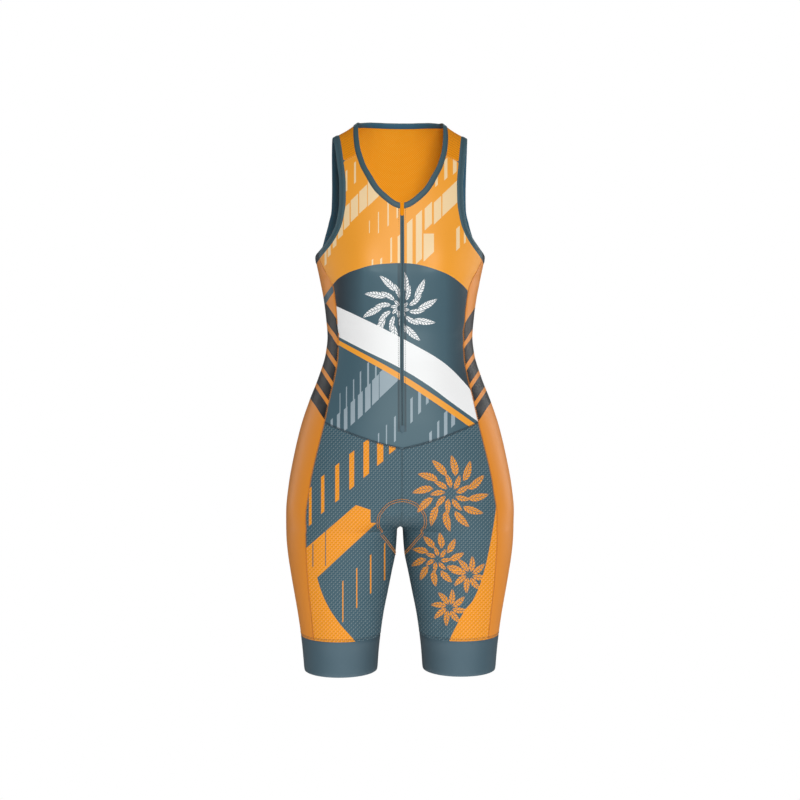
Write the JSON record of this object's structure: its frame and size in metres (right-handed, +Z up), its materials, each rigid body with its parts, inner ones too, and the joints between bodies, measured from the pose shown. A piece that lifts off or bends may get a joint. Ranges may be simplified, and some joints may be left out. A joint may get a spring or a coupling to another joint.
{
  "type": "cycling speed suit",
  "caption": "Sleeveless one-piece cycling speed suit: a V-neck zipped vest top sewn to thigh-length shorts with gripper hems, in its worn, hollow form.",
  "frame": {"origin": "midway between the two shoulder straps, where the wearer's shoulders hold the suit up", "axes": "+Z up along the body, +X to the viewer's right across the shoulders, the zipped front faces -Y"},
  "size_m": [0.3858, 0.2397, 0.9363],
  "materials": {
    "printed_knit": "sublimation-printed smooth warp knit with a soft sheen",
    "side_knit": "printed smooth warp knit",
    "mesh_knit": "perforated mesh knit",
    "dimpled_knit": "honeycomb-dimpled knit, matte with small highlights",
    "gripper_band": "dense raw-cut elastic with a soft sheen",
    "binding": "folded elastic binding, satin",
    "zip_tape": "woven tape with moulded coil teeth",
    "trim_knit": "smooth knit patch"
  },
  "bodies": {
    "root": {"front_bodice": "printed_knit", "back_bodice": "printed_knit", "side_panel_left": "side_knit", "side_panel_right": "side_knit", "shoulder_yoke_left": "mesh_knit", "shoulder_yoke_right": "mesh_knit", "leg_front_left": "dimpled_knit", "leg_front_right": "dimpled_knit", "leg_back_left": "dimpled_knit", "leg_back_right": "dimpled_knit", "hem_band_left": "gripper_band", "hem_band_right": "gripper_band", "neck_binding": "binding", "armhole_binding_left": "binding", "armhole_binding_right": "binding", "zip": "zip_tape", "zip_garage": "trim_knit", "zip_stop": "trim_knit"}
  },
  "joints": []
}
